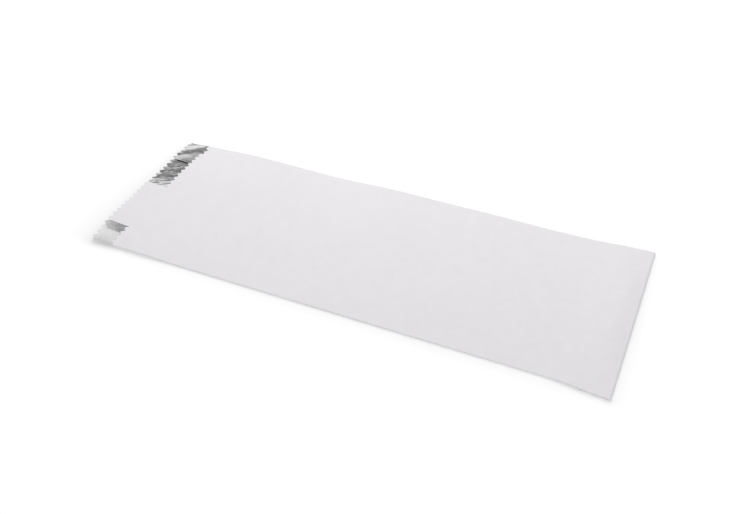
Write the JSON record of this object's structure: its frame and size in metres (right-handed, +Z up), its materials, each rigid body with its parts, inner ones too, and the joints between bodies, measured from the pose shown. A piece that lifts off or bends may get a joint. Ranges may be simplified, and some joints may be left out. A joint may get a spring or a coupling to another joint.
{
  "type": "foil-lined paper bag",
  "caption": "Flat white paper bag with a foil lining, side gussets, a stepped serrated mouth and a folded bottom, for keeping hot food warm.",
  "frame": {"origin": "middle of the flat bag's outline, on the surface that it lies on", "axes": "+X along the bag from the mouth to the folded bottom, +Y across it from the short notch to the long notch, +Z up through the front wall"},
  "size_m": [0.32, 0.1114, 0.0041],
  "materials": {
    "white_paper": "matt, smooth bleached paper",
    "foil": "bright, finely creased foil"
  },
  "bodies": {
    "root": {"paper_bag": "white_paper", "foil_lining": "foil"}
  },
  "joints": []
}
